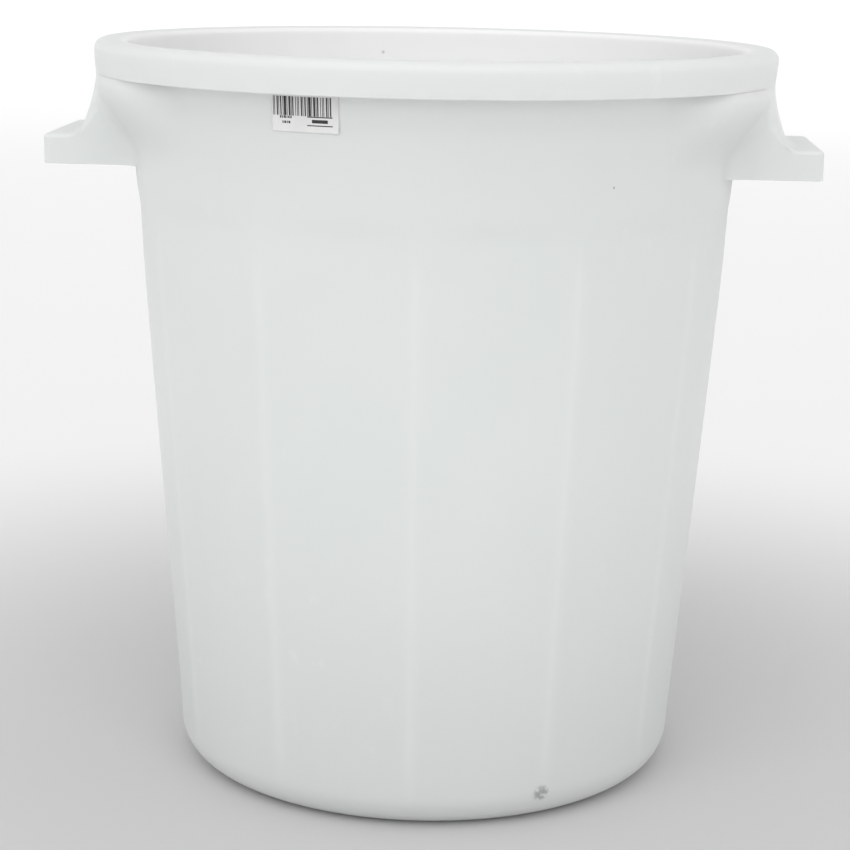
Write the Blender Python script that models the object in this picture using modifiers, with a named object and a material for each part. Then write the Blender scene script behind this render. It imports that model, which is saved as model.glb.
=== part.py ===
"""One-piece open-top drum in white polyethylene, with a rolled rim, twelve soft wall panels,
a rounded foot and two hooded grip lugs, and a paper label stuck under the rim.

Frame: metres, +Z up, origin under the middle of the foot, grips on +X and -X, label side -Y.
The moulding is divided at its natural regions, which stand GAP apart."""
import bpy
import bmesh
from math import atan2, cos, hypot, pi, radians, sin, sqrt

# Driving dimensions
HEIGHT = 0.488
RIM_RADIUS = 0.2245
FOOT_RADIUS = 0.1679        # outside of the wall, carried on straight down to the ground
WALL_TAPER = 0.0779         # outward lean of the wall for each metre of height
WALL = 0.0030               # thickness of the moulding
GAP = 0.0003                # clearance between neighbouring regions
CORNER_RADIUS = 0.026       # rounded foot
RECESS_RADIUS = 0.112       # raised middle of the floor
RECESS_DEPTH = 0.003
RECESS_SLOPE = 0.006        # radial width of the step around the recess
SEGMENTS = 72
ARC_STEPS = 6

# Wall panels
PANELS = 12
PANEL_FLATNESS = 0.22       # 0 is a round wall, 1 a true twelve-sided one
PANEL_TOP = 0.3945          # above this the wall is round
PANEL_FADE = 0.022          # height over which the panels run out at their top
FOOT_FADE_LOW = 0.004       # and the two heights between which they run out at the foot
FOOT_FADE_HIGH = 0.050

# Rim
RIM_HEIGHT = 0.0217         # from the crown down to the skirt's lower edge
RIM_LEG = 0.0230            # from the crown down to the end of the inner leg
SKIRT_RADIUS = 0.2226       # outside of the skirt at its lower edge
MOUTH_CORNER = 0.0032       # rounding of the crown's inner edge
CROWN_CORNER = 0.0062       # and of its outer edge

# Grips
GRIP_REACH = 0.2525         # from the axis to the lug's flat outer face
GRIP_HALF_WIDTH = 0.0545
GRIP_TOP = 0.4267
GRIP_BOTTOM = 0.4072
GRIP_CORNER = 0.006         # corners of the lug, seen from above
GRIP_CHAMFER = 0.003        # around the lug's top
HOOD_RISE = 0.0095          # how far the hood's ends reach up inside the rim
HOOD_RADIUS = 0.2300        # hood's face where it turns out into the lug
HOOD_FOOT = 0.0075          # height of that turn above the lug
HOOD_CORNER = 0.009
HOOD_LEVELS = (0.35, 0.7, 1.0)      # rows from the skirt's edge down to that turn
HOOD_LEAD = -0.15           # start of the hood's easing, so that it narrows from its first row
TURN_LEVELS = ((0.06, 0.6), (0.25, 0.93), (1.0, 1.0))   # share of the way out and of the way down
FLANK_DROP = 1.15           # how fast the flanks sink where the lug stands no further out
FLANK_BLEND = 0.022         # radius that leads the hood's flank into the wall
SHOULDER_START = 25.0       # degrees either side of the grip, where the hood leaves the rim
SHOULDER_END = 40.0         # and where it has run out into the wall
BURIED = 1.5                # degrees that the skin is carried on into the wall
ROOT_POINTS = 5             # points of the half outline: round the blend,
FLANK_POINTS = 3            # along the flank, round the corner
FRONT_POINTS = 5            # and over half of the face

# Label
LABEL_WIDTH = 0.0434
LABEL_BOTTOM = 0.4433
LABEL_TOP = 0.4655
LABEL_THICKNESS = 0.0002
LABEL_BEARING = -109.8      # degrees round from +X

SHARP_EDGE = 35.0           # degrees, above which a shaded edge stays sharp
CUTTER_MARGIN = 0.02        # how far the wall's cutter runs past what it cuts

PLASTIC_COLOUR = (0.80, 0.82, 0.82, 1.0)
PLASTIC_ROUGHNESS = 0.45
PAPER_COLOUR = (0.88, 0.88, 0.87, 1.0)
PAPER_ROUGHNESS = 0.55


def clear_scene():
    for thing in list(bpy.data.objects):
        bpy.data.objects.remove(thing, do_unlink=True)


def new_collection(name):
    made = bpy.data.collections.new(name)
    bpy.context.scene.collection.children.link(made)
    return made


def new_material(name, colour, roughness):
    material = bpy.data.materials.new(name)
    material.use_nodes = True
    shader = material.node_tree.nodes["Principled BSDF"]
    shader.inputs["Base Color"].default_value = colour
    shader.inputs["Roughness"].default_value = roughness
    shader.inputs["Metallic"].default_value = 0.0
    material.diffuse_color = colour
    return material


def new_object(name, mesh, collection, material=None):
    thing = bpy.data.objects.new(name, mesh)
    collection.objects.link(thing)
    if material is not None:
        mesh.materials.append(material)
    return thing


def make_cutter(thing):
    thing.hide_render = True
    thing.display_type = "WIRE"
    return thing


def wall_radius(height):
    """Outside of the wall, before its panels are flattened."""
    return FOOT_RADIUS + WALL_TAPER * height


def ramp(value, low, high):
    """0 below low, 1 above high and a smooth step between them."""
    part = min(max((value - low) / (high - low), 0.0), 1.0)
    return part * part * (3.0 - 2.0 * part)


def panel_strength(height):
    """How far the panels are flattened at a height: none in the neck, none on the ground."""
    from_foot = ramp(height, FOOT_FADE_LOW, FOOT_FADE_HIGH)
    return from_foot * (1.0 - ramp(height, PANEL_TOP - PANEL_FADE, PANEL_TOP))


def panel_scale(angle, height):
    """Factor on the radius that flattens the wall between two creases."""
    step = 2.0 * pi / PANELS
    from_middle = (angle + step) % step - 0.5 * step
    flat = cos(0.5 * step) / cos(from_middle)
    return 1.0 - PANEL_FLATNESS * panel_strength(height) * (1.0 - flat)


def flatten_panels(mesh):
    for vertex in mesh.vertices:
        scale = panel_scale(atan2(vertex.co.y, vertex.co.x), vertex.co.z)
        vertex.co.x *= scale
        vertex.co.y *= scale


def arc(centre, radius, start, end, steps=ARC_STEPS):
    """Points (radius, height) on an arc, angles in degrees from the outward direction."""
    points = []
    for k in range(steps + 1):
        angle = radians(start + (end - start) * k / steps)
        points.append((centre[0] + radius * cos(angle), centre[1] + radius * sin(angle)))
    return points


def turned(name, profile, closed, collection, segments=SEGMENTS):
    """A mesh turned about Z from (radius, height) points that run down the outer side."""
    mesh = bpy.data.meshes.new(name)
    edges = [(k, k + 1) for k in range(len(profile) - 1)]
    if closed:
        edges.append((len(profile) - 1, 0))
    mesh.from_pydata([(r, 0.0, z) for r, z in profile], edges, [])
    pattern = new_object(name + "_pattern", mesh, collection)
    screw = pattern.modifiers.new("turn", "SCREW")
    screw.axis = "Z"
    screw.angle = 2.0 * pi
    screw.steps = segments
    screw.render_steps = segments
    screw.use_merge_vertices = True
    screw.merge_threshold = 0.00001
    graph = bpy.context.evaluated_depsgraph_get()
    solid = bpy.data.meshes.new_from_object(pattern.evaluated_get(graph), depsgraph=graph)
    solid.name = name
    bpy.data.objects.remove(pattern, do_unlink=True)
    return solid


def smooth(mesh):
    mesh.shade_smooth()
    mesh.set_sharp_from_angle(angle=radians(SHARP_EDGE))


def foot_centre():
    """Centre of the rounded foot's arc, which is tangent to the ground and to the wall."""
    radius = wall_radius(CORNER_RADIUS) - CORNER_RADIUS * hypot(1.0, WALL_TAPER)
    return radius, CORNER_RADIUS


def base_top():
    """Height where the foot's arc meets the straight wall."""
    return CORNER_RADIUS * (1.0 - WALL_TAPER / hypot(1.0, WALL_TAPER))


def make_base(collection, material):
    centre = foot_centre()
    lean = -atan2(WALL_TAPER, 1.0) * 180.0 / pi
    step_out = RECESS_RADIUS + RECESS_SLOPE
    inside_floor = [
        (0.0, RECESS_DEPTH + WALL),
        (RECESS_RADIUS, RECESS_DEPTH + WALL),
        (step_out, WALL),
    ]
    inside = arc(centre, CORNER_RADIUS - WALL, -90.0, lean)
    outside = arc(centre, CORNER_RADIUS, lean, -90.0)
    underside = [
        (step_out, 0.0),
        (RECESS_RADIUS, RECESS_DEPTH),
        (0.0, RECESS_DEPTH),
    ]
    mesh = turned("drum_base", inside_floor + inside + outside + underside, False, collection)
    flatten_panels(mesh)
    smooth(mesh)
    return new_object("drum_base", mesh, collection, material)


def make_wall(collection, material):
    low = base_top() + GAP
    high = HEIGHT - RIM_LEG - GAP
    fade = PANEL_TOP - PANEL_FADE
    middle = 0.5 * (FOOT_FADE_HIGH + fade)
    knots = [low, FOOT_FADE_HIGH, middle, fade, fade + 0.5 * PANEL_FADE, PANEL_TOP, high]
    outside = [(wall_radius(z), z) for z in reversed(knots)]
    inside = [(wall_radius(z) - WALL, z) for z in knots]
    mesh = turned("drum_wall", outside + inside, True, collection)
    flatten_panels(mesh)
    smooth(mesh)
    return new_object("drum_wall", mesh, collection, material)


def rim_section(extra=0.0):
    """The rim's cut face, running down its outer side; extra grows it on every face."""
    leg_foot = HEIGHT - RIM_LEG - extra
    skirt_foot = HEIGHT - RIM_HEIGHT - extra
    mouth = wall_radius(HEIGHT) - WALL
    mouth_centre = (mouth + MOUTH_CORNER, HEIGHT - MOUTH_CORNER)
    crown_centre = (RIM_RADIUS - CROWN_CORNER, HEIGHT - CROWN_CORNER)
    crown = arc(mouth_centre, MOUTH_CORNER + extra, 180.0, 90.0, 3)
    crown += arc(crown_centre, CROWN_CORNER + extra, 90.0, 0.0, 4)
    skirt = [
        (SKIRT_RADIUS + extra, skirt_foot),
        (SKIRT_RADIUS - WALL - extra, skirt_foot),
    ]
    roof = arc(crown_centre, CROWN_CORNER - WALL - extra, 0.0, 90.0, 3)
    roof.append((wall_radius(HEIGHT - WALL) + extra, HEIGHT - WALL - extra))
    leg = [
        (wall_radius(leg_foot) + extra, leg_foot),
        (wall_radius(leg_foot) - WALL - extra, leg_foot),
    ]
    return crown + skirt + roof + leg


def make_rim(collection, material):
    mesh = turned("rim_band", rim_section(), True, collection)
    smooth(mesh)
    return new_object("rim_band", mesh, collection, material)


def polar(radius, degrees):
    return radius * cos(radians(degrees)), radius * sin(radians(degrees))


def spaced(start, end, count, with_end=False):
    """Points on a straight line between two plan points."""
    last = count if with_end else count - 1
    return [
        (start[0] + (end[0] - start[0]) * k / count, start[1] + (end[1] - start[1]) * k / count)
        for k in range(last + 1)
    ]


def round_corner(centre, radius, start, end, count):
    return [
        (centre[0] + p[0], centre[1] + p[1])
        for p in (polar(radius, start + (end - start) * k / count) for k in range(count))
    ]


def root_points(wall):
    """The half outline's first stretch: in the wall, then round the blend to the flank."""
    reach = wall + FLANK_BLEND
    side = GRIP_HALF_WIDTH + FLANK_BLEND
    centre = (sqrt(reach * reach - side * side), side)
    meet = atan2(side, centre[0]) * 180.0 / pi
    buried = [polar(wall - WALL, meet + BURIED)]
    blend = round_corner(centre, FLANK_BLEND, 180.0 + meet, 270.0, ROOT_POINTS)
    return buried + blend, centre[0]


def hood_outline(wall, face):
    """Half of the hood seen from above, from the wall round to the middle of its face."""
    root, flank_start = root_points(wall)
    inner = face - HOOD_CORNER
    corner_y = GRIP_HALF_WIDTH - HOOD_CORNER
    corner_x = sqrt(inner * inner - corner_y * corner_y)
    turn = atan2(corner_y, corner_x) * 180.0 / pi
    flank = spaced((flank_start, GRIP_HALF_WIDTH), (corner_x, GRIP_HALF_WIDTH), FLANK_POINTS)
    corner = round_corner((corner_x, corner_y), HOOD_CORNER, 90.0, turn, FLANK_POINTS)
    front = [polar(face, turn * (1.0 - k / FRONT_POINTS)) for k in range(FRONT_POINTS + 1)]
    return root + flank + corner + front


def lug_outline(wall, face):
    """Half of the lug seen from above, with the same number of points as the hood."""
    root, flank_start = root_points(wall)
    corner_x = face - GRIP_CORNER
    corner_y = GRIP_HALF_WIDTH - GRIP_CORNER
    flank = spaced((flank_start, GRIP_HALF_WIDTH), (corner_x, GRIP_HALF_WIDTH), FLANK_POINTS)
    corner = round_corner((corner_x, corner_y), GRIP_CORNER, 90.0, 0.0, FLANK_POINTS)
    front = spaced((face, corner_y), (face, 0.0), FRONT_POINTS, with_end=True)
    return root + flank + corner + front


def shoulder_outline(wall, face, count):
    """Half of the hood just under the rim, easing from the wall out to the rim's own circle."""
    points = [polar(wall - WALL, SHOULDER_END + BURIED)]
    easing = count - FRONT_POINTS - 2
    for k in range(easing + 1):
        part = k / easing
        angle = SHOULDER_END + (SHOULDER_START - SHOULDER_END) * part
        points.append(polar(wall + (face - wall) * ramp(part, 0.0, 1.0), angle))
    for k in range(1, FRONT_POINTS + 1):
        points.append(polar(face, SHOULDER_START * (1.0 - k / FRONT_POINTS)))
    return points


def mixed(first, second, share):
    return [
        (a[0] + (b[0] - a[0]) * share, a[1] + (b[1] - a[1]) * share)
        for a, b in zip(first, second)
    ]


def hood_rows(hood):
    """Rows from inside the rim down to the hood's turn, as lists of (x, y, z)."""
    skirt_z = HEIGHT - RIM_HEIGHT
    turn_z = GRIP_TOP + HOOD_FOOT
    shoulder = shoulder_outline(wall_radius(skirt_z), SKIRT_RADIUS, len(hood))
    rows = [
        [(x, y, skirt_z + HOOD_RISE) for x, y in shoulder],
        [(x, y, skirt_z) for x, y in shoulder],
    ]
    for share in HOOD_LEVELS:
        outline = mixed(shoulder, hood, ramp(share, HOOD_LEAD, 1.0))
        z = skirt_z + (turn_z - skirt_z) * share
        rows.append([(x, y, z) for x, y in outline])
    return rows


def turn_rows(hood, lug):
    """Rows that turn out from the hood's foot over the lug's top."""
    reach = hypot(lug[-1][0] - hood[-1][0], lug[-1][1] - hood[-1][1])
    rows = []
    for out, down in TURN_LEVELS:
        row = []
        for h, g, (x, y) in zip(hood, lug, mixed(hood, lug, out)):
            share = min(hypot(g[0] - h[0], g[1] - h[1]) / reach, 1.0)
            even = out * FLANK_DROP
            drop = even + (down - even) * share
            row.append((x, y, GRIP_TOP + HOOD_FOOT * (1.0 - drop)))
        rows.append(row)
    return rows


def grip_rows():
    """Rows of points down the grip's outer skin, each the half from +Y round to the middle."""
    wall_low = wall_radius(GRIP_TOP)
    hood = hood_outline(wall_low, HOOD_RADIUS)
    lug = lug_outline(wall_low, GRIP_REACH)
    lug_top = lug_outline(wall_low, GRIP_REACH - GRIP_CHAMFER)
    rows = hood_rows(hood) + turn_rows(hood, lug_top)
    rows.append([(x, y, GRIP_TOP - GRIP_CHAMFER) for x, y in lug])
    rows.append([(x, y, GRIP_BOTTOM) for x, y in lug])
    return rows


def grip_skin(name):
    """The grip's outer skin as an open surface, a loft from the rim's circle to the lug."""
    shape = bmesh.new()
    grid = []
    for half in grip_rows():
        other = [(x, -y, z) for x, y, z in reversed(half[:-1])]
        grid.append([shape.verts.new(point) for point in half + other])
    for upper, lower in zip(grid, grid[1:]):
        for k in range(len(upper) - 1):
            shape.faces.new((upper[k], lower[k], lower[k + 1], upper[k + 1]))
    bmesh.ops.recalc_face_normals(shape, faces=shape.faces)
    mesh = bpy.data.meshes.new(name)
    shape.to_mesh(mesh)
    shape.free()
    return mesh


def wall_envelope(collection):
    """Cutter: everything inside the wall's outer face and the gap beyond it."""
    high = HEIGHT + CUTTER_MARGIN
    low = GRIP_BOTTOM - CUTTER_MARGIN
    profile = [
        (0.0, high),
        (wall_radius(high) + GAP, high),
        (wall_radius(low) + GAP, low),
        (0.0, low),
    ]
    mesh = turned("wall_envelope", profile, False, collection)
    return make_cutter(new_object("wall_envelope", mesh, collection))


def rim_envelope(collection):
    mesh = turned("rim_envelope", rim_section(GAP), True, collection)
    return make_cutter(new_object("rim_envelope", mesh, collection))


def add_cut(thing, cutter):
    cut = thing.modifiers.new("cut_" + cutter.name, "BOOLEAN")
    cut.operation = "DIFFERENCE"
    cut.solver = "EXACT"
    cut.object = cutter


def make_grips(collection, material, cutters):
    mesh = grip_skin("grip_skin")
    mesh.materials.append(material)
    for name, turn in (("handle_right", 0.0), ("handle_left", pi)):
        grip = new_object(name, mesh, collection)
        grip.rotation_euler.z = turn
        shell = grip.modifiers.new("shell", "SOLIDIFY")
        shell.thickness = WALL
        shell.offset = -1.0
        shell.use_even_offset = True
        for cutter in cutters:
            add_cut(grip, cutter)


def make_label(collection, material):
    bpy.ops.mesh.primitive_grid_add(x_subdivisions=10, y_subdivisions=2, size=1.0)
    label = bpy.context.active_object
    label.name = "barcode_label"
    for vertex in label.data.vertices:
        height = LABEL_BOTTOM + (vertex.co.y + 0.5) * (LABEL_TOP - LABEL_BOTTOM)
        radius = wall_radius(height) + GAP
        bearing = radians(LABEL_BEARING) + vertex.co.x * LABEL_WIDTH / radius
        vertex.co = (radius * cos(bearing), radius * sin(bearing), height)
    for owner in list(label.users_collection):
        owner.objects.unlink(label)
    collection.objects.link(label)
    label.data.materials.append(material)
    sheet = label.modifiers.new("sheet", "SOLIDIFY")
    sheet.thickness = LABEL_THICKNESS
    sheet.offset = 1.0


def main():
    clear_scene()
    parts = new_collection("open_head_drum")
    cutters = new_collection("cutters")
    plastic = new_material("polyethylene", PLASTIC_COLOUR, PLASTIC_ROUGHNESS)
    paper = new_material("paper", PAPER_COLOUR, PAPER_ROUGHNESS)
    make_base(parts, plastic)
    make_wall(parts, plastic)
    make_rim(parts, plastic)
    make_grips(parts, plastic, (wall_envelope(cutters), rim_envelope(cutters)))
    make_label(parts, paper)


main()
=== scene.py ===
"""The open head drum: a white polyethylene tub, two hooded grips and a paper label.

Everything is in metres in the row frame: +Z up, grips on +X and -X, label side -Y."""
from math import atan2, cos, hypot, pi, radians, sin, sqrt

import bmesh
import bpy
import numpy as np
from mathutils import Matrix, Vector


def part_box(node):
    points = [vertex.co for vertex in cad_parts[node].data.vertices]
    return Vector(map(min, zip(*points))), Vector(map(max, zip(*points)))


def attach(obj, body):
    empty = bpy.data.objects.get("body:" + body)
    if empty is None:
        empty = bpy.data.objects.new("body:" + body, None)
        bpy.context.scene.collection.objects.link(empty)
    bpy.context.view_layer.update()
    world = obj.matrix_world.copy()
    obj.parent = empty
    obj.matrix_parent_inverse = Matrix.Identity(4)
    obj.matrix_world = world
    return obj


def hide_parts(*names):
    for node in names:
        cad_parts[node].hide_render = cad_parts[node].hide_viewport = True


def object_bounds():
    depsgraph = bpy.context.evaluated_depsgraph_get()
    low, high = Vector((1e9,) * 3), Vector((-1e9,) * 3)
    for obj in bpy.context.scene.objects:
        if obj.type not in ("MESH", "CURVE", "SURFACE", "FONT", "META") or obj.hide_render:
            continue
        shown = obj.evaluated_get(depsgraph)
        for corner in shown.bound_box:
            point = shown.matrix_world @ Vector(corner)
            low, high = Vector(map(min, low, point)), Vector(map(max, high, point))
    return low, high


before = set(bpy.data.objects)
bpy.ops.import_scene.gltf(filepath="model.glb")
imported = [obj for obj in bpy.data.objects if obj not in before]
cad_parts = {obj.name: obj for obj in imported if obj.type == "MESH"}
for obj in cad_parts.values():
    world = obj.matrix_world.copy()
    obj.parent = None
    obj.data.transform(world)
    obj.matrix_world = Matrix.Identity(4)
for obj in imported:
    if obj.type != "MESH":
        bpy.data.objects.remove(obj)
cad_low, cad_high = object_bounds()

# ---------------------------------------------------------------- sizes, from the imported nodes
HEIGHT = cad_high.z
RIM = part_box("rim_band")[1].x
LEG_BELOW = 0.0013              # the CAD rim's inner leg ends this much below its skirt
RIM_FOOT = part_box("rim_band")[0].z + LEG_BELOW
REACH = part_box("handle_right")[1].x
GRIP_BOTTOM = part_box("handle_right")[0].z
GRIP_TOP = GRIP_BOTTOM + 0.0195     # height of the lug's top
LABEL_LOW, LABEL_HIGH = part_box("barcode_label")

FOOT_RADIUS = 0.1679            # the wall's line, carried down to the ground
TAPER = 0.0779                  # growth of the radius per metre of height
WALL = 0.0030                   # thickness of wall and floor
CORNER = 0.026                  # rounding of the foot, outside
RECESS_RADIUS = 0.112           # the shallow recess under the floor
RECESS_DEPTH = 0.003
SKIRT = 0.2226                  # outside of the rim at its lower edge
SKIRT_THICK = 0.0030
COVER = 0.00004                 # how far the hoods stand over the rim's skirt
NECK = 0.3945                   # the panels stop here
PANELS = 12
PANEL_STEP = 2.0 * pi / PANELS


# ---------------------------------------------------------------- small maths
def ease(value, low, high):
    """0 below low, 1 above high, smooth between."""
    t = np.clip((np.asarray(value, float) - low) / (high - low), 0.0, 1.0)
    return t * t * (3.0 - 2.0 * t)


def bell(value, middle, width):
    """1 in the middle, falling off to both sides."""
    return np.exp(-((np.asarray(value, float) - middle) / width) ** 2)


def line(start, end, steps):
    """Points after start, up to and with end."""
    return [
        (start[0] + (end[0] - start[0]) * k / steps, start[1] + (end[1] - start[1]) * k / steps)
        for k in range(1, steps + 1)
    ]


def filleted(corners, spacing):
    """A smooth path through (x, y, fillet radius) corners, with points at most spacing apart."""
    path = [(corners[0][0], corners[0][1])]
    for before, corner, after in zip(corners, corners[1:], corners[2:]):
        c = Vector(corner[:2])
        a = (Vector(before[:2]) - c).normalized()
        b = (Vector(after[:2]) - c).normalized()
        half = 0.5 * a.angle(b)
        back = corner[2] / max(np.tan(half), 1e-6)
        start, end = c + a * back, c + b * back
        centre = c + (a + b).normalized() * (corner[2] / max(sin(half), 1e-6))
        path += line(path[-1], start, max(1, round((start - Vector(path[-1])).length / spacing)))
        turn = pi - 2.0 * half
        steps = max(2, min(12, round(turn / 0.18)))
        first = atan2(start.y - centre.y, start.x - centre.x)
        sign = 1.0 if a.x * b.y - a.y * b.x < 0.0 else -1.0
        for k in range(1, steps + 1):
            angle = first + sign * turn * k / steps
            path.append((centre.x + corner[2] * cos(angle), centre.y + corner[2] * sin(angle)))
    last = corners[-1][:2]
    left = hypot(last[0] - path[-1][0], last[1] - path[-1][1])
    path += line(path[-1], last, max(1, round(left / spacing)))
    return path


# ---------------------------------------------------------------- meshes and materials
def outward(mesh, turn=None):
    """Make the faces' normals agree; turn says whether they then have to be reversed."""
    shape = bmesh.new()
    shape.from_mesh(mesh)
    bmesh.ops.recalc_face_normals(shape, faces=shape.faces)
    if turn and turn(shape.faces):
        bmesh.ops.reverse_faces(shape, faces=shape.faces)
    shape.to_mesh(mesh)
    shape.free()


def new_object(name, mesh, material):
    made = bpy.data.objects.new(name, mesh)
    bpy.context.scene.collection.objects.link(made)
    mesh.materials.append(material)
    return made


def mesh_of(name, points, faces, masks=None):
    """A smooth mesh; masks are values per point, read by the plastic's material."""
    mesh = bpy.data.meshes.new(name)
    mesh.from_pydata([tuple(p) for p in points], [], faces)
    mesh.validate()
    for mask, values in (masks or {}).items():
        layer = mesh.attributes.new(mask, "FLOAT", "POINT")
        layer.data.foreach_set("value", np.asarray(values, np.float32))
    mesh.shade_smooth()
    return mesh


class Nodes:
    """A short way to write a material's nodes."""

    def __init__(self, name):
        self.material = bpy.data.materials.new(name)
        self.material.use_nodes = True
        self.tree = self.material.node_tree
        self.tree.nodes.clear()
        self.out = self.tree.nodes.new("ShaderNodeOutputMaterial")
        self.shader = self.tree.nodes.new("ShaderNodeBsdfPrincipled")
        self.tree.links.new(self.shader.outputs[0], self.out.inputs["Surface"])
        self.where = self.tree.nodes.new("ShaderNodeTexCoord").outputs["Object"]

    def put(self, value, socket):
        if hasattr(value, "is_output"):
            self.tree.links.new(value, socket)
        else:
            socket.default_value = value

    def math(self, operation, first, second=0.0, third=0.0):
        node = self.tree.nodes.new("ShaderNodeMath")
        node.operation = operation
        for value, socket in zip((first, second, third), node.inputs):
            self.put(value, socket)
        return node.outputs[0]

    def noise(self, scale, detail=3.0, rough=0.5, stretch=(1.0, 1.0, 1.0), shift=0.0):
        mapping = self.tree.nodes.new("ShaderNodeMapping")
        mapping.inputs["Scale"].default_value = stretch
        mapping.inputs["Location"].default_value = (shift, shift, shift)
        self.put(self.where, mapping.inputs["Vector"])
        node = self.tree.nodes.new("ShaderNodeTexNoise")
        self.put(mapping.outputs[0], node.inputs["Vector"])
        node.inputs["Scale"].default_value = scale
        node.inputs["Detail"].default_value = detail
        node.inputs["Roughness"].default_value = rough
        return node.outputs["Fac"]

    def ramp(self, value, low, high):
        """0 below low, 1 above high, smooth between."""
        node = self.tree.nodes.new("ShaderNodeMapRange")
        node.interpolation_type = "SMOOTHSTEP"
        self.put(value, node.inputs["Value"])
        node.inputs["From Min"].default_value = low
        node.inputs["From Max"].default_value = high
        return node.outputs[0]

    def near(self, point, radius, soft):
        """1 at a point of the object, fading to 0 between radius and radius plus soft."""
        node = self.tree.nodes.new("ShaderNodeVectorMath")
        node.operation = "DISTANCE"
        self.put(self.where, node.inputs[0])
        node.inputs[1].default_value = point
        return self.math("SUBTRACT", 1.0, self.ramp(node.outputs["Value"], radius, radius + soft))

    def attribute(self, name):
        node = self.tree.nodes.new("ShaderNodeAttribute")
        node.attribute_name = name
        return node.outputs["Fac"]

    def height(self):
        node = self.tree.nodes.new("ShaderNodeSeparateXYZ")
        self.put(self.where, node.inputs[0])
        return node.outputs["Z"]

    def blend(self, share, first, second):
        node = self.tree.nodes.new("ShaderNodeMix")
        node.data_type = "RGBA"
        self.put(share, node.inputs["Factor"])
        self.put(first, node.inputs["A"])
        self.put(second, node.inputs["B"])
        return node.outputs["Result"]

    def bump(self, height, distance, strength=1.0, after=None):
        node = self.tree.nodes.new("ShaderNodeBump")
        node.inputs["Strength"].default_value = strength
        node.inputs["Distance"].default_value = distance
        self.put(height, node.inputs["Height"])
        if after is not None:
            self.put(after, node.inputs["Normal"])
        return node.outputs[0]


# small marks seen in the photo, in the row frame
SMUDGE = (0.0834, -0.1475, 0.0212)
PIT = (0.1159, -0.1629, 0.4121)
SPECK = (-0.0495, 0.1953, 0.4696)


def plastic_material():
    n = Nodes("polyethylene")
    cloud = n.noise(5.0, 2.0, 0.5)
    flow = n.noise(7.0, 3.0, 0.55, (1.0, 1.0, 0.22), 3.1)
    grain = n.noise(260.0, 2.0, 0.6)
    fine = n.noise(900.0, 2.0, 0.5)
    mottle = n.noise(42.0, 3.0, 0.6, shift=1.7)
    scuffs = n.noise(70.0, 4.0, 0.65, (1.0, 1.0, 0.6), 5.2)
    high = n.height()
    # painted shade: the tub is darkened towards the bottom, where less light reaches it
    foot = n.math("SUBTRACT", 1.0, n.ramp(high, -0.06, 0.26))
    worn = n.math("MULTIPLY", n.attribute("edge"), n.ramp(mottle, 0.40, 0.68))
    patches = n.ramp(n.noise(3.4, 1.0, 0.5, shift=9.3), 0.44, 0.60)
    rubbed = n.math("MULTIPLY", n.ramp(scuffs, 0.58, 0.72), patches)
    dirt = n.ramp(n.noise(300.0, 2.0), 0.30, 0.55)
    smudge = n.math("MULTIPLY", n.near(SMUDGE, 0.0030, 0.0040), dirt)
    body = n.blend(
        n.ramp(cloud, 0.35, 0.65), (0.775, 0.800, 0.790, 1.0), (0.800, 0.815, 0.812, 1.0)
    )
    # where a tint goes, how much of it there is, and its colour
    for place, amount, tint in (
        (n.ramp(flow, 0.45, 0.75), 0.35, (0.815, 0.822, 0.815)),
        # painted shade: darker towards the bottom of the tub
        (foot, 0.55, (0.66, 0.675, 0.668)),
        # painted shade: darker from the middle of the wall upwards, towards the rim's shadow
        (n.ramp(high, 0.24, 0.44), 0.30, (0.70, 0.715, 0.708)),
        # painted light: lighter from just under the rim upwards, to lift the rim's shadow
        (n.ramp(high, 0.425, 0.466), 0.40, (0.86, 0.87, 0.865)),
        # painted light: the wall just under the rim is lightened where the rim's shadow falls
        (n.attribute("painted_light_under_rim"), 0.70, (0.93, 0.94, 0.935)),
        # painted light: the whole inside of the tub is lightened
        (n.attribute("inside"), 1.0, (0.94, 0.955, 0.945)),
        # painted highlight: a pale band along each panel crease
        (n.attribute("crease"), 0.25, (0.845, 0.852, 0.850)),
        (worn, 0.4, (0.74, 0.745, 0.735)),
        (rubbed, 0.30, (0.86, 0.86, 0.855)),
        (smudge, 0.70, (0.30, 0.31, 0.31)),
        (n.near(PIT, 0.0006, 0.0008), 0.75, (0.12, 0.12, 0.11)),
        (n.near(SPECK, 0.0008, 0.0008), 0.32, (0.12, 0.12, 0.11)),
    ):
        body = n.blend(n.math("MULTIPLY", place, amount), body, (*tint, 1.0))
    n.put(body, n.shader.inputs["Base Color"])
    rough = n.math("MULTIPLY_ADD", mottle, 0.10, 0.36)
    rough = n.math("MULTIPLY_ADD", rubbed, 0.12, rough)
    n.put(rough, n.shader.inputs["Roughness"])
    n.shader.inputs["IOR"].default_value = 1.53
    n.shader.inputs["Specular IOR Level"].default_value = 0.42
    n.shader.inputs["Subsurface Weight"].default_value = 0.85
    n.shader.inputs["Subsurface Radius"].default_value = (1.0, 1.0, 1.0)
    n.shader.inputs["Subsurface Scale"].default_value = 0.0022
    skin = n.bump(grain, 0.00005, 0.7)
    skin = n.bump(fine, 0.00002, 0.6, skin)
    skin = n.bump(n.noise(16.0, 2.0, 0.5, shift=2.2), 0.0006, 0.5, skin)
    skin = n.bump(rubbed, 0.00006, 0.8, skin)
    n.put(skin, n.shader.inputs["Normal"])
    return n.material


def paper_material():
    n = Nodes("label_paper")
    fibres = n.noise(900.0, 3.0, 0.6)
    stain = n.noise(90.0, 2.0, 0.5)
    body = n.blend(
        n.ramp(stain, 0.3, 0.7), (0.835, 0.835, 0.83, 1.0), (0.875, 0.875, 0.872, 1.0)
    )
    body = n.blend(n.math("MULTIPLY", n.ramp(fibres, 0.5, 0.8), 0.2), body, (0.80, 0.80, 0.79, 1.0))
    n.put(body, n.shader.inputs["Base Color"])
    n.put(n.math("MULTIPLY_ADD", stain, 0.15, 0.40), n.shader.inputs["Roughness"])
    n.put(n.bump(fibres, 0.00003, 0.6), n.shader.inputs["Normal"])
    return n.material


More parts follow.
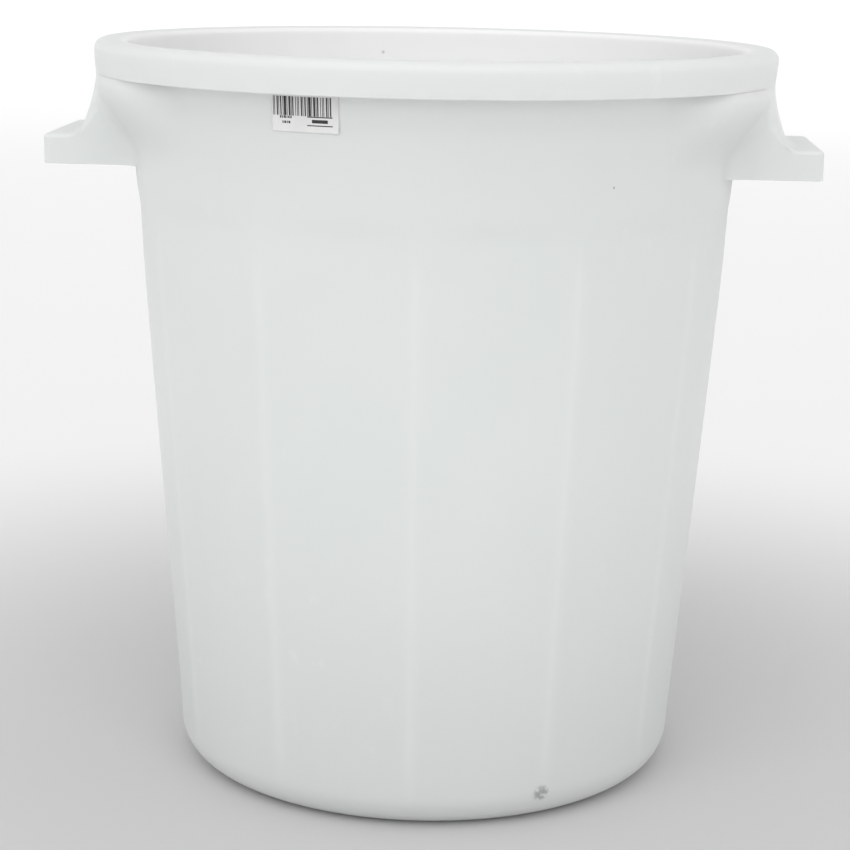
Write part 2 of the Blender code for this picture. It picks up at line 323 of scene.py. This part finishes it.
def ink_material():
    n = Nodes("label_ink")
    patchy = n.noise(700.0, 3.0, 0.6)
    body = n.blend(
        n.ramp(patchy, 0.35, 0.75), (0.022, 0.022, 0.024, 1.0), (0.055, 0.055, 0.058, 1.0)
    )
    n.put(body, n.shader.inputs["Base Color"])
    n.put(n.math("MULTIPLY_ADD", patchy, 0.2, 0.42), n.shader.inputs["Roughness"])
    n.put(n.bump(patchy, 0.00001, 0.5), n.shader.inputs["Normal"])
    return n.material


# ---------------------------------------------------------------- the wall's shape
def wall_line(height):
    """Outside of the wall, slightly barrelled."""
    height = np.asarray(height, float)
    barrel = 0.0004 * bell(height, 0.230, 0.120) - 0.0012 * bell(height, 0.395, 0.035)
    return FOOT_RADIUS + TAPER * height + barrel


def panel_strength(height):
    """1 where the wall is panelled, 0 at the round foot and above the neck."""
    return ease(height, 0.004, 0.050) * (1.0 - ease(height, NECK - 0.016, NECK))


def from_crease(angle):
    """Signed angle to the nearest crease."""
    return (angle + 0.5 * PANEL_STEP) % PANEL_STEP - 0.5 * PANEL_STEP


def panel_shape(radius, height, angle, flatness=0.22):
    """The radius with its panels flattened and the creases between them left as soft ridges."""
    strength = panel_strength(height)
    middle = (angle % PANEL_STEP) - 0.5 * PANEL_STEP
    flat = cos(0.5 * PANEL_STEP) / np.cos(middle)
    ridge = 0.00022 * bell(from_crease(angle) * radius, 0.0, 0.0038)
    ridge = ridge * strength * (1.0 - ease(height, NECK - 0.050, NECK - 0.020))
    return radius * (1.0 - flatness * strength * (1.0 - flat)) + ridge


# ---------------------------------------------------------------- the tub
def tub_angles():
    """Bearings of the columns, closer together near each crease."""
    half = [0.0, 0.3, 0.6, 0.9, 1.25, 1.7, 2.3, 3.1, 4.2, 5.6, 7.2, 9.0, 11.0, 13.0]
    whole = half + [15.0] + [30.0 - a for a in reversed(half[1:])]
    return np.radians([30.0 * k + a for k in range(PANELS) for a in whole])


def tub_profile():
    """(radius, height, side) rows from the middle of the floor, over the rim and underneath.
    side is 1 on faces that follow the panels and 0 on those that stay round."""
    rows = []

    def add(points, side):
        rows.extend((r, z, side) for r, z in points)

    foot_r = float(wall_line(CORNER)) - CORNER * hypot(1.0, TAPER)
    lean = -atan2(TAPER, 1.0)
    floor = filleted([
        (0.004, RECESS_DEPTH + WALL, 0.0),
        (RECESS_RADIUS, RECESS_DEPTH + WALL, 0.004),
        (RECESS_RADIUS + 0.006, WALL, 0.004),
        (foot_r, WALL, 0.0),
    ], 0.012)
    add(floor, 0.0)

    def corner(radius, steps):
        return [
            (foot_r + radius * cos(a), CORNER + radius * sin(a))
            for a in (-0.5 * pi + (0.5 * pi + lean) * k / steps for k in range(1, steps + 1))
        ]

    add(corner(CORNER - WALL, 14), 1.0)
    lining = np.arange(0.036, HEIGHT - 0.034, 0.0130)
    add([(float(wall_line(z)) - WALL, float(z)) for z in lining], 1.0)

    inner_low = float(wall_line(HEIGHT - 0.030)) - WALL
    mouth = float(wall_line(HEIGHT)) - WALL
    roof = HEIGHT - 0.0031
    crown = filleted([
        (inner_low, HEIGHT - 0.030, 0.0),
        (mouth, HEIGHT - 0.0011, 0.0036),
        (mouth + 0.0105, HEIGHT, 0.030),
        (RIM, HEIGHT - 0.0001, 0.0062),
        (RIM - 0.0001, HEIGHT - 0.0090, 0.034),
        (SKIRT, RIM_FOOT, 0.0009),
        (SKIRT - SKIRT_THICK, RIM_FOOT + 0.0001, 0.0009),
        (RIM - 0.0034, HEIGHT - 0.0085, 0.010),
        (RIM - 0.0034, roof, 0.0030),
        (float(wall_line(roof)), roof, 0.0026),
        (float(wall_line(RIM_FOOT + 0.0008)), RIM_FOOT + 0.0008, 0.0),
    ], 0.0018)
    add(crown, 0.0)
    drop = np.concatenate([
        RIM_FOOT - np.array([0.0001, 0.0004, 0.0009, 0.0016, 0.0024]),
        RIM_FOOT - np.array([0.0034, 0.0044, 0.0054, 0.0070, 0.0090]),
        np.arange(RIM_FOOT - 0.012, NECK + 0.006, -0.003),
        np.arange(NECK + 0.004, NECK - 0.056, -0.0026),
        np.arange(NECK - 0.060, 0.040, -0.0100),
    ])
    add([(float(wall_line(z)), float(z)) for z in drop], 1.0)
    add([(r, z) for r, z in reversed(corner(CORNER, 18))], 1.0)
    under = filleted([
        (foot_r, 0.0, 0.0),
        (RECESS_RADIUS + 0.006, 0.0, 0.003),
        (RECESS_RADIUS, RECESS_DEPTH, 0.003),
        (0.004, RECESS_DEPTH, 0.0),
    ], 0.012)
    add(under, 0.0)
    return np.array(rows)


def side_angle(x, y):
    """Degrees away from the nearer grip's middle."""
    angle = np.degrees(np.arctan2(y, x))
    return np.abs((angle + 90.0) % 180.0 - 90.0)


def skirt_line(height):
    """Outside of the rim's skirt."""
    return np.interp(height, SKIRT_Z, SKIRT_R)


PROFILE = tub_profile()
outer_skirt = PROFILE[(PROFILE[:, 0] > SKIRT - 0.0005) & (PROFILE[:, 1] < HEIGHT - 0.006)]
outer_skirt = outer_skirt[np.argsort(outer_skirt[:, 1])]
SKIRT_Z, SKIRT_R = outer_skirt[:, 1], outer_skirt[:, 0]


# the hollow between a hood's face and the rim's skirt
VALLEY_LOW, VALLEY_HIGH = RIM_FOOT - 0.0054, RIM_FOOT + 0.0065
VALLEY_FLOOR = 0.2232           # radius of the hood's face at the hollow's lower end
VALLEY_LEAN = 0.13              # how fast the face grows downward there
SINK_ABOVE = (0.0, 0.0017, 0.0032, 0.0047, 0.0070, 0.02)        # height over the hollow
SINK = (0.0, 0.00005, 0.00018, 0.0005, 0.0016, 0.0080)          # depth under the skirt there


def valley(height):
    """The soft hollow that leads from a hood's face up onto the rim's skirt, and then under it."""
    span = VALLEY_HIGH - VALLEY_LOW
    top = float(skirt_line(VALLEY_HIGH))
    slope = (top - float(skirt_line(VALLEY_HIGH - 0.002))) / 0.002
    t = np.clip((height - VALLEY_LOW) / span, 0.0, 1.0)
    curve = (
        VALLEY_FLOOR * (2.0 * t ** 3 - 3.0 * t ** 2 + 1.0)
        - VALLEY_LEAN * span * (t ** 3 - 2.0 * t ** 2 + t)
        + (top + COVER) * (3.0 * t ** 2 - 2.0 * t ** 3)
        + slope * span * (t ** 3 - t ** 2)
    )
    above = np.maximum(height - VALLEY_HIGH, 0.0)
    sink = np.interp(above, SINK_ABOVE, SINK)
    return np.where(above > 0.0, skirt_line(height) + COVER - sink, curve)


SWELL_FROM = 0.416              # height where the wall starts to swell out beside the hoods
SWELL_ENDS = 30.0, 46.0         # degrees from a grip's middle where the swell fades out
# degrees from a grip's middle, and the share of the swell there: none behind the hood itself
HIDDEN_AT = (11.0, 13.0, 15.0, 17.0, 18.9)
HIDDEN_SHARE = (0.0, 0.30, 0.80, 0.985, 1.0)


def swell_share(side):
    """All of the swell close to a hood, none of it further round."""
    return 1.0 - ease(side, *SWELL_ENDS)


def swell(height, side):
    """How far the wall swells out beside a hood, until it is flush with the rim's foot."""
    height = np.asarray(height, float)
    rise = np.clip((height - SWELL_FROM) / (VALLEY_LOW - SWELL_FROM), 0.0, 1.0)
    free = valley(np.maximum(height, VALLEY_LOW)) - wall_line(np.maximum(height, VALLEY_LOW))
    return free * ease(rise, 0.0, 1.0) * swell_share(side)


def make_tub(material):
    """Floor, wall and rim as one closed skin, swollen beside the hoods to meet them."""
    angles = tub_angles()
    rows = PROFILE
    count = len(angles)
    radius, height, side = rows[:, 0:1], rows[:, 1:2], rows[:, 2:3]
    turned = np.broadcast_to(radius, (len(rows), count)).copy()
    high = np.broadcast_to(height, turned.shape)
    shaped = panel_shape(turned, high, angles[None, :])
    outer = side * ease(high, 0.0, 0.002)
    turned = turned + (shaped - turned) * outer
    order = np.arange(len(rows))[:, None]
    crown_row = int(np.argmax(rows[:, 1]))
    face = (order > crown_row) & (radius < wall_line(height) + 0.0008) & (height > SWELL_FROM)
    side_on = side_angle(np.cos(angles), np.sin(angles))[None, :]
    behind = np.interp(side_on, HIDDEN_AT, HIDDEN_SHARE)
    turned = turned + face * (high < RIM_FOOT) * swell(high, side_on) * behind
    # near the hoods the skirt's foot gets a sharper edge, and its outside follows the hollow
    share = swell_share(side_on) * behind
    middle = SKIRT - 0.5 * SKIRT_THICK
    fillet = (high < RIM_FOOT + 0.0014) & (np.abs(radius - middle) < 0.0019)
    lift = np.where(fillet & (radius > middle), float(valley(RIM_FOOT)) - SKIRT, 0.0) * share
    corner_r = np.where(radius > middle, SKIRT, SKIRT - SKIRT_THICK)
    turned = np.where(fillet, turned + (corner_r - turned) * 0.9 * share + lift, turned)
    high = np.where(fillet, high + (RIM_FOOT - high) * 0.9 * share, high)
    outside = (order > crown_row) & (radius > SKIRT) & ~fillet
    outside = outside & (high > RIM_FOOT) & (high < VALLEY_HIGH)
    turned = turned + np.where(outside, valley(high) - COVER - skirt_line(high), 0.0) * share
    x = turned * np.cos(angles)
    y = turned * np.sin(angles)
    points = np.stack([x, y, high], 2).reshape(-1, 3)
    # masks for the plastic: painted highlight along the panel creases, wear, painted light inside
    # the mouth and painted light on the wall under the rim
    # painted highlight along the panel creases
    crease = bell(from_crease(angles)[None, :] * turned, 0.0, 0.0045) * panel_strength(high)
    crease = crease * (1.0 - ease(high, NECK - 0.040, NECK - 0.020)) * side
    edge = bell(high, RIM_FOOT, 0.0030) * (turned > SKIRT - 0.004)
    edge = edge + (1.0 - ease(high, 0.004, 0.024)) * (side > 0.5)
    faces = []
    for r in range(len(rows) - 1):
        for c in range(count):
            d = (c + 1) % count
            faces.append((r * count + c, r * count + d, (r + 1) * count + d, (r + 1) * count + c))
    first = len(points)
    points = np.vstack([points, [(0.0, 0.0, rows[0, 1]), (0.0, 0.0, rows[-1, 1])]])
    last = (len(rows) - 1) * count
    for c in range(count):
        d = (c + 1) % count
        faces.append((first, d, c))
        faces.append((first + 1, last + c, last + d))
    # painted light: the inside of the tub, up to the crown, is marked to be lightened
    inside = np.broadcast_to(1.0 - ease(order, crown_row - 8, crown_row - 2), turned.shape)
    # painted light: a band of wall just under the rim, away from the hoods, to be lightened
    painted_light_under_rim = face * (high < RIM_FOOT) * ease(high, 0.448, 0.466)
    painted_light_under_rim = painted_light_under_rim * (1.0 - swell_share(side_on))
    masks = {
        "painted_light_under_rim": np.append(painted_light_under_rim.reshape(-1), (0.0, 0.0)),
        "inside": np.append(inside.reshape(-1), (1.0, 0.0)),
        "crease": np.append(crease.reshape(-1), (0.0, 0.0)),
        "edge": np.append(np.clip(edge, 0.0, 1.0).reshape(-1), (0.0, 0.0)),
    }
    mesh = mesh_of("tub", points, faces, masks)
    outward(mesh)
    return new_object("tub", mesh, material)


# ---------------------------------------------------------------- the grips
GRIP_HALF = 0.0545              # half the width of hood and lug
LUG_CORNER = 0.0050
FILLET = 0.0110                 # between the hood and the lug's top
EDGE = 0.0030                   # rounding of the lug's top edge
LIP = 0.0007                    # rounding of the lug's lower edge
FLARE = 0.2710                  # sine of the hood's outward lean where the fillet starts
TURN = GRIP_TOP + FILLET * (1.0 - FLARE)
HOOD_FOOT = 0.2299              # radius of the hood's face at TURN
HOOD_CORNER, HOOD_CORNER_HIGH = 0.0055, 0.0120      # rounding between flank and face
HOOD_FLAT = 0.25                # how far the face is flattened at TURN
BLEND, BLEND_HIGH = 0.020, 0.011    # radius where the wall turns out into the flank
GRIP_THICK = 0.0025
SHARP = 50.0                    # degrees; sharper edges are shaded as edges
ROOT_STEPS, FLANK_STEPS, CORNER_STEPS, FACE_STEPS = 12, 8, 16, 30


def root_and_flank(half, blend, wall, end_x):
    """From under the wall's face, round the blend and along the flank to end_x."""
    reach = wall + blend
    side = half + blend
    cx = sqrt(reach * reach - side * side)
    meet = atan2(side, cx)
    points = []
    for degrees_off, dip in ((3.4, 0.0014), (2.2, 0.0005), (1.3, 0.00018), (0.6, 0.00005)):
        angle = meet + radians(degrees_off)
        points.append(((wall - dip) * cos(angle), (wall - dip) * sin(angle)))
    for k in range(ROOT_STEPS + 1):
        angle = pi + meet + (0.5 * pi - meet) * k / ROOT_STEPS
        points.append((cx + blend * cos(angle), side + blend * sin(angle)))
    return points + line(points[-1], (end_x, half), FLANK_STEPS)


def face_point(face, flat, y):
    """x of a face that is flat 0: round about the axis, flat 1: straight."""
    on_circle = sqrt(face * face - y * y)
    return on_circle + (face - on_circle) * flat


def hood_front(face, half, corner, flat):
    """Round the hood's corner and over half of its face, and the x of the corner's centre."""
    cy = half - corner
    edge_x = face_point(face, flat, cy)
    slope = atan2(cy * (1.0 - flat), sqrt(face * face - cy * cy))
    cx = edge_x - corner * cos(slope)
    points = []
    for k in range(1, CORNER_STEPS + 1):
        angle = 0.5 * pi + (slope - 0.5 * pi) * k / CORNER_STEPS
        points.append((cx + corner * cos(angle), cy + corner * sin(angle)))
    end_x, end_y = points[-1]
    miss = end_x - face_point(face, flat, end_y)
    for k in range(1, FACE_STEPS + 1):
        y = end_y * (1.0 - k / FACE_STEPS)
        points.append((face_point(face, flat, y) + miss * (1.0 - k / FACE_STEPS) ** 2, y))
    return points, cx


def lug_front(start_x, face, half):
    """Along the lug's side, round its corner and over half of its flat face."""
    points = []
    inner = face - LUG_CORNER
    first = CORNER_STEPS // 2
    for k in range(1, first + 1):
        points.append((start_x + (inner - start_x) * (k / first) ** 1.6, half))
    for k in range(1, CORNER_STEPS - first + 1):
        angle = 0.5 * pi * (1.0 - k / (CORNER_STEPS - first))
        points.append((inner + LUG_CORNER * cos(angle), half - LUG_CORNER * (1.0 - sin(angle))))
    return points + line(points[-1], (face, 0.0), FACE_STEPS)


def hood_face(height):
    """Radius of the hood's face, from inside the rim's skirt down to the lug's fillet."""
    if height >= VALLEY_LOW:
        return float(valley(height))
    drop = VALLEY_LOW - height
    span = VALLEY_LOW - TURN
    bow = (HOOD_FOOT - VALLEY_FLOOR - VALLEY_LEAN * span) / span ** 2
    return VALLEY_FLOOR + VALLEY_LEAN * drop + bow * drop ** 2


def swollen(plan, height, face):
    """Carry a hood's outline out with the wall that swells behind it."""
    plan = np.array(plan)
    wall = float(wall_line(height))
    free = min(float(swell(height, 0.0)), face - wall)
    radius = np.hypot(plan[:, 0], plan[:, 1])
    along = np.clip((radius - wall) / (face - wall), 0.0, 1.0)
    flush = float(ease(height, TURN, 0.5 * (TURN + RIM_FOOT)))
    share = (1.0 - along) * flush + (1.0 - ease(along, 0.0, 0.82)) * (1.0 - flush)
    out = 1.0 + free * share / radius
    return plan * out[:, None]


def hood_rows():
    """The hood from inside the rim's skirt down to the fillet above the lug."""
    rows = []
    levels = np.concatenate([
        VALLEY_HIGH + np.array([0.0070, 0.0047, 0.0032, 0.0017]),
        np.linspace(VALLEY_HIGH, VALLEY_LOW, 12),
        np.linspace(VALLEY_LOW, TURN, 18)[1:],
    ])
    for z in levels:
        rise = min(max((z - TURN) / (RIM_FOOT - TURN), 0.0), 1.0)
        face = hood_face(z)
        corner = HOOD_CORNER + (HOOD_CORNER_HIGH - HOOD_CORNER) * float(ease(rise, 0.0, 0.35))
        blend = BLEND + (BLEND_HIGH - BLEND) * float(ease(rise, 0.0, 0.55))
        front, corner_x = hood_front(face, GRIP_HALF, corner, HOOD_FLAT * (1.0 - rise))
        plan = root_and_flank(GRIP_HALF, blend, float(wall_line(z)), corner_x) + front
        rows.append(np.column_stack([swollen(plan, z, face), np.full(len(plan), z)]))
    return rows


def distance_to(outline, points):
    """Shortest plan distance from points to a polyline."""
    best = np.full(len(points), 1.0)
    for a, b in zip(outline, outline[1:]):
        along = b - a
        t = np.clip(((points - a) @ along) / max(along @ along, 1e-12), 0.0, 1.0)
        best = np.minimum(best, np.linalg.norm(points - (a + t[:, None] * along), axis=1))
    return best


def fillet_height(away):
    """Height of the lug's top at a distance from the hood's foot."""
    run = np.minimum(away + FILLET * (1.0 - sqrt(1.0 - FLARE * FLARE)), FILLET)
    return GRIP_TOP + FILLET - np.sqrt(FILLET ** 2 - (FILLET - run) ** 2)


def lug_height(plan, hood_outline):
    """Height of the lug's top: a fillet up to the hood and a rounded outer edge."""
    away = distance_to(hood_outline, plan)
    x, y = plan[:, 0], plan[:, 1]
    inner_x, inner_y = REACH - LUG_CORNER, GRIP_HALF - LUG_CORNER
    in_corner = (x > inner_x) & (y > inner_y)
    to_side = np.minimum(GRIP_HALF - y, REACH - x)
    to_corner = LUG_CORNER - np.hypot(np.maximum(x - inner_x, 0.0), np.maximum(y - inner_y, 0.0))
    to_edge = np.clip(np.where(in_corner, to_corner, to_side), 0.0, EDGE)
    drop = EDGE - np.sqrt(EDGE ** 2 - (EDGE - to_edge) ** 2)
    return fillet_height(away) - drop * ease(away, 0.0, 0.005)


def grip_surface():
    """Hood and lug as one grid of points, down the hood, over the lug's top and down its side."""
    rows = hood_rows()
    foot_row = rows[-1][:, :2]
    front_from = len(foot_row) - CORNER_STEPS - FACE_STEPS
    hood = foot_row[front_from:]
    corner_x = foot_row[front_from - 1, 0]
    flank_x = hood_front(hood_face(TURN), GRIP_HALF, HOOD_CORNER, HOOD_FLAT)[1]
    lug = np.array(lug_front(corner_x, REACH, GRIP_HALF))
    outline = foot_row[front_from - 4:]
    top_steps, edge_steps, side_steps, lip_steps = 18, 8, 6, 4
    path = np.maximum(np.linalg.norm(lug - hood, axis=1), 1e-6)
    edge_from = np.clip(1.0 - EDGE / path, 0.5, 1.0)
    flank_low = lug_height(lug, outline)[0]

    def add(height, front_plan, front_z, inset=0.0):
        plan = root_and_flank(GRIP_HALF - inset, BLEND + inset, float(wall_line(height)), flank_x)
        plan = swollen(plan, height, hood_face(TURN))
        low = np.full(len(plan), height)
        rows.append(np.column_stack([np.vstack([plan, front_plan]), np.append(low, front_z)]))

    total = top_steps + edge_steps
    for k in range(1, total + 1):
        if k <= top_steps:
            share = k / top_steps
            part = edge_from * (0.45 * share + 0.55 * share * share)
        else:
            part = edge_from + (1.0 - edge_from) * sin(0.5 * pi * (k - top_steps) / edge_steps)
        plan = hood + (lug - hood) * part[:, None]
        add(TURN + (flank_low - TURN) * k / total, plan, lug_height(plan, outline))
    side_top = rows[-1][:, 2]
    for k in range(1, side_steps + 1):
        z = side_top + (GRIP_BOTTOM + LIP - side_top) * k / side_steps
        add(float(z[0]), lug, z[front_from:])
    for k in range(1, lip_steps + 1):
        angle = 0.5 * pi * k / lip_steps
        inset = LIP * (1.0 - cos(angle))
        low = GRIP_BOTTOM + LIP * (1.0 - sin(angle))
        tucked = np.array(lug_front(corner_x, REACH - inset, GRIP_HALF - inset))
        add(low, tucked, np.full(len(tucked), low), inset)
    grid = []
    for half in rows:
        mirrored = half[:-1][::-1] * np.array([1.0, -1.0, 1.0])
        grid.append(np.vstack([half, mirrored]))
    return np.array(grid)


def faces_inward(faces):
    """Whether a grip's faces look towards the tub's axis on the whole."""
    lean = (f.normal.dot(Vector((f.calc_center_median().x, 0.0, 0.0))) for f in faces)
    return sum(lean) < 0.0


def make_grip(name, turned, grid, material):
    """One grip as a thin shell, open underneath; turned puts it on the -X side."""
    rows, count = grid.shape[:2]
    points = grid.reshape(-1, 3)
    if turned:
        points = points * np.array([-1.0, -1.0, 1.0])
    faces = []
    for r in range(rows - 1):
        for c in range(count - 1):
            a, b = r * count + c, (r + 1) * count + c
            faces.append((a, b, b + 1, a + 1))
    edge = bell(points[:, 2], GRIP_BOTTOM, 0.002)
    edge = edge + bell(np.abs(points[:, 0]), REACH, 0.002) * 0.5
    none = np.zeros(len(points))
    masks = {"painted_light_under_rim": none, "inside": none, "crease": none, "edge": np.clip(edge, 0.0, 1.0)}
    mesh = mesh_of(name, points, faces, masks)
    outward(mesh, faces_inward)
    grip = new_object(name, mesh, material)
    shell = grip.modifiers.new("shell", "SOLIDIFY")
    shell.thickness = GRIP_THICK
    shell.offset = -1.0
    shell.use_even_offset = False
    graph = bpy.context.evaluated_depsgraph_get()
    solid = bpy.data.meshes.new_from_object(grip.evaluated_get(graph), depsgraph=graph)
    grip.modifiers.remove(shell)
    grip.data = solid
    solid.shade_smooth()
    solid.set_sharp_from_angle(angle=radians(SHARP))
    return grip


# ---------------------------------------------------------------- the label
LABEL_BEARING = radians(-109.25)
LABEL_WIDTH = 0.0434
LABEL_GAP = 0.00022             # from the wall's line to the back of the paper
PAPER, INK = 0.00012, 0.00003   # thicknesses
PRINT_LIFT = 0.00017            # from the back of the paper to the face of the ink
CURL = 0.0011                   # how far the lower right corner comes off the wall


def label_point(across, up, lift):
    """A point on the label; across and up run 0 to 1 from its lower left, seen from outside."""
    z = LABEL_LOW.z + (LABEL_HIGH.z - LABEL_LOW.z) * up
    curl = CURL * (max(0.0, across - 0.80) / 0.20) ** 2 * (max(0.0, 0.45 - up) / 0.45) ** 1.5
    radius = float(wall_line(z)) + LABEL_GAP + lift + curl
    bearing = LABEL_BEARING + (across - 0.5) * LABEL_WIDTH / radius
    return radius * cos(bearing), radius * sin(bearing), z


def make_label(material):
    nx, ny = 56, 24
    points, faces = [], []
    for lift in (0.0, PAPER):
        for j in range(ny + 1):
            for i in range(nx + 1):
                points.append(label_point(i / nx, j / ny, lift))
    layer = (nx + 1) * (ny + 1)

    def at(i, j, top):
        return top * layer + j * (nx + 1) + i

    for j in range(ny):
        for i in range(nx):
            faces.append((at(i, j, 1), at(i + 1, j, 1), at(i + 1, j + 1, 1), at(i, j + 1, 1)))
            faces.append((at(i, j, 0), at(i, j + 1, 0), at(i + 1, j + 1, 0), at(i + 1, j, 0)))
    for i in range(nx):
        faces.append((at(i, 0, 0), at(i + 1, 0, 0), at(i + 1, 0, 1), at(i, 0, 1)))
        faces.append((at(i, ny, 1), at(i + 1, ny, 1), at(i + 1, ny, 0), at(i, ny, 0)))
    for j in range(ny):
        faces.append((at(0, j, 1), at(0, j + 1, 1), at(0, j + 1, 0), at(0, j, 0)))
        faces.append((at(nx, j, 0), at(nx, j + 1, 0), at(nx, j + 1, 1), at(nx, j, 1)))
    return new_object("label", mesh_of("label", points, faces), material)


def make_print(material):
    """Bars, two rows of dashes, two thin lines and a plain block, which say nothing."""
    tall = LABEL_HIGH.z - LABEL_LOW.z
    marks = []                  # (left, right, bottom, top) in metres on the label
    module, bars_from, bars_wide = 0.00040, 0.0012, 0.0378
    x = bars_from
    pattern = (1, 1, 1, 3, 2, 1, 1, 2, 2, 2, 1, 1, 4, 1, 1, 2, 3, 1, 1, 1, 2, 3, 1, 2)
    for k, wide in enumerate(pattern * 4):
        if x > bars_from + bars_wide:
            break
        if k % 2 == 0:
            marks.append((x, x + wide * module, tall - 0.0125, tall - 0.0013))
        x += wide * module
    dash_long, dash_half, dash_gap = 0.0014, 0.0007, 0.0005
    for row, x, dashes in (
        (0.0088, 0.0056, (0.7, 0.5, 0.9, 0.4, 0.7, 0.6)),
        (0.0058, 0.0072, (0.5, 0.9, 0.4, 0.8)),
    ):
        for dash in dashes:
            marks.append((x, x + dash * dash_long, row - dash_half, row + dash_half))
            x += dash * dash_long + dash_gap
    marks.append((0.0235, 0.0395, 0.0040, 0.0046))
    marks.append((0.0235, 0.0395, 0.0090, 0.0096))
    marks.append((0.0265, 0.0365, 0.0058, 0.0078))
    points, faces = [], []
    for x0, x1, y0, y1 in marks:
        steps = max(1, round((x1 - x0) / 0.001))
        rise = 2 if y1 - y0 > 0.004 else 1
        start = len(points)
        for j in range(rise + 1):
            for i in range(steps + 1):
                across = (x0 + (x1 - x0) * i / steps) / LABEL_WIDTH
                up = (y0 + (y1 - y0) * j / rise) / tall
                points.append(label_point(across, up, PRINT_LIFT))
        for j in range(rise):
            for i in range(steps):
                a = start + j * (steps + 1) + i
                faces.append((a, a + 1, a + steps + 2, a + steps + 1))
    printed = new_object("label_print", mesh_of("label_print", points, faces), material)
    sheet = printed.modifiers.new("sheet", "SOLIDIFY")
    sheet.thickness = INK
    sheet.offset = -1.0
    return printed


# ---------------------------------------------------------------- the studio
DOME = 0.705                    # strength of the even white sky
SUN, SUN_ANGLE = 1.20, 80.0     # strength and breadth, in degrees, of the broad sun
SUN_ELEVATION, SUN_SIDE = 34.0, -6.0
# painted shadow: the floor is darker close around the tub's base
FLOOR_SHADOW_GREY, FLOOR_FAR = 0.66, 0.97      # the floor's grey under the tub and far from it
FLOOR_FADE = 0.22, 1.0          # distances from the axis where it changes
BOWL_REACH, BOWL_CURVE, BOWL_TOP = 6.0, 1.4, 1.5
BOWL_TURNS = 96


def bowl_material():
    n = Nodes("studio_backdrop")
    split = n.tree.nodes.new("ShaderNodeSeparateXYZ")
    n.put(n.where, split.inputs[0])
    squares = [n.math("POWER", split.outputs[axis], 2.0) for axis in "XY"]
    across = n.math("POWER", n.math("ADD", *squares), 0.5)
    under, away = (*[FLOOR_SHADOW_GREY] * 3, 1.0), (*[FLOOR_FAR] * 3, 1.0)
    # painted shadow: the floor's grey deepens towards the tub
    n.put(n.blend(n.ramp(across, *FLOOR_FADE), under, away), n.shader.inputs["Base Color"])
    n.shader.inputs["Roughness"].default_value = 0.9
    n.shader.inputs["Specular IOR Level"].default_value = 0.1
    return n.material


def make_studio():
    """An even sky, one broad sun and a pale bowl to stand on, with a shadow painted on its floor
    around the tub.
    """
    world = bpy.data.worlds.new("studio")
    bpy.context.scene.world = world
    world.use_nodes = True
    background = world.node_tree.nodes["Background"]
    background.inputs["Color"].default_value = (1.0, 1.0, 1.0, 1.0)
    background.inputs["Strength"].default_value = DOME
    lamp = bpy.data.lights.new("key", "SUN")
    lamp.energy = SUN
    lamp.angle = radians(SUN_ANGLE)
    key = bpy.data.objects.new("key", lamp)
    up, side = radians(SUN_ELEVATION), radians(SUN_SIDE)
    towards = Vector((sin(side) * cos(up), -cos(side) * cos(up), sin(up)))
    key.rotation_euler = towards.to_track_quat("Z", "Y").to_euler()
    bpy.context.scene.collection.objects.link(key)
    profile = [(r, 0.0) for r in (0.02, 0.25, 0.6, 1.4, 2.8, BOWL_REACH - BOWL_CURVE)]
    for k in range(1, 13):
        angle = 0.5 * pi * k / 12
        profile.append(
            (BOWL_REACH - BOWL_CURVE * (1.0 - sin(angle)), BOWL_CURVE * (1.0 - cos(angle)))
        )
    profile.append((BOWL_REACH, BOWL_TOP))
    turns = BOWL_TURNS
    points = [
        (r * cos(2.0 * pi * k / turns), r * sin(2.0 * pi * k / turns), z)
        for r, z in profile for k in range(turns)
    ]
    faces = []
    for row in range(len(profile) - 1):
        for k in range(turns):
            a, b = row * turns + k, row * turns + (k + 1) % turns
            faces.append((a + turns, b + turns, b, a))
    faces.append(tuple(range(turns)))
    bowl = bpy.data.meshes.new("backdrop")
    bowl.from_pydata(points, [], faces)
    bowl.shade_smooth()
    new_object("backdrop", bowl, bowl_material())


# the camera fitted to the photo's outline: metres and radians
AZIMUTH, DISTANCE, CAMERA_HEIGHT = radians(2.8), 1.5112, 0.5635
PITCH, YAW, ROLL = -0.2185, -0.0020, 0.0185
SENSOR, LENS = 36.0, 95.48      # millimetres


def make_camera():
    place = Vector((DISTANCE * sin(AZIMUTH), -DISTANCE * cos(AZIMUTH), CAMERA_HEIGHT))
    heading = AZIMUTH - YAW
    ahead = Vector((-sin(heading) * cos(PITCH), cos(heading) * cos(PITCH), sin(PITCH)))
    right = ahead.cross(Vector((0.0, 0.0, 1.0))).normalized()
    above = right.cross(ahead)
    turned_right = right * cos(ROLL) + above * sin(ROLL)
    turned_above = above * cos(ROLL) - right * sin(ROLL)
    data = bpy.data.cameras.new("camera")
    data.sensor_width = SENSOR
    data.lens = LENS
    camera = bpy.data.objects.new("camera", data)
    basis = Matrix((turned_right, turned_above, -ahead)).transposed().to_4x4()
    camera.matrix_world = Matrix.Translation(place) @ basis
    bpy.context.scene.collection.objects.link(camera)
    bpy.context.scene.camera = camera


def settle(piece, slot_name, *nodes):
    """Tie a piece to the body and hide the CAD nodes that it stands for; slot_name is not used."""
    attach(piece, "root")
    if nodes:
        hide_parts(*nodes)


bpy.context.scene.view_settings.view_transform = "Standard"
plastic = plastic_material()
settle(make_tub(plastic), "polyethylene", "drum_base", "drum_wall", "rim_band")
surface = grip_surface()
settle(make_grip("grip_right", False, surface, plastic), "polyethylene", "handle_right")
settle(make_grip("grip_left", True, surface, plastic), "polyethylene", "handle_left")
settle(make_label(paper_material()), "label_paper", "barcode_label")
settle(make_print(ink_material()), "label_paper")
make_studio()
make_camera()
